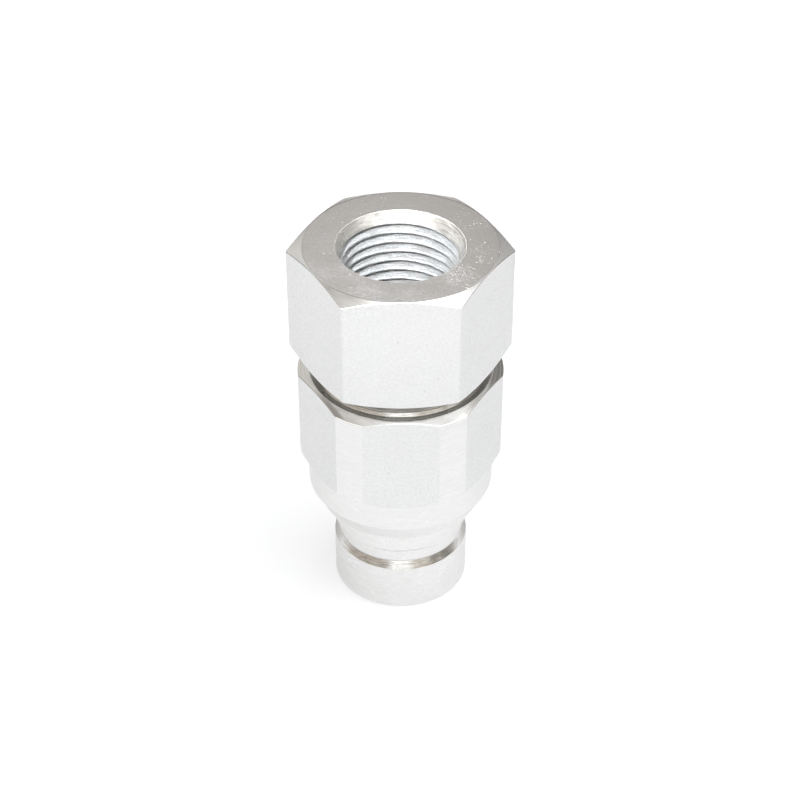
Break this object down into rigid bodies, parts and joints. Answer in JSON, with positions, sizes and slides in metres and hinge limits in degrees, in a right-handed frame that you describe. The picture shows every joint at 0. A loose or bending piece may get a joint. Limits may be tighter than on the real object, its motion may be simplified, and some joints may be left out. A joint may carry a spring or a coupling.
{
  "type": "hydraulic quick coupler plug",
  "caption": "Male half of a flat-face hydraulic quick coupler: steel nose with ball groove and spring-closed valve, hexagon body and hexagon adaptor with a female pipe thread.",
  "frame": {"origin": "centre of the nose's flat front face", "axes": "+Z along the axis from the nose towards the threaded port; two flats of each hexagon face +Y and -Y"},
  "size_m": [0.0368, 0.032, 0.0684],
  "materials": {
    "zinc_plated_body": "bright zinc plate over turned and milled steel",
    "zinc_plated_adaptor": "bright zinc plate over turned steel and drawn hexagon bar",
    "zinc_plated_valve": "bright zinc plate over fine turning",
    "turned_steel": "plain turned steel, oiled",
    "spring_steel": "drawn spring wire, phosphated",
    "nitrile_seal": "moulded nitrile rubber, matt",
    "ptfe_backup": "white PTFE, smooth"
  },
  "bodies": {
    "housing": {"nose_body": "zinc_plated_body", "rear_adaptor": "zinc_plated_adaptor", "adaptor_o_ring": "nitrile_seal", "adaptor_backup_ring": "ptfe_backup", "poppet_spring": "spring_steel", "spring_seat": "turned_steel", "valve_guide": "turned_steel", "retaining_ring": "spring_steel"},
    "valve": {"valve_poppet": "zinc_plated_valve", "poppet_o_ring": "nitrile_seal", "poppet_backup_ring": "ptfe_backup"}
  },
  "joints": [
    {"name": "valve_slide", "type": "slide", "parent": "housing", "child": "valve", "axis": [0, 0, 1], "range_m": [0, 0.007], "stiffness_N_per_m": 4000, "springref_m": -0.005, "deforming": ["poppet_spring"]}
  ]
}
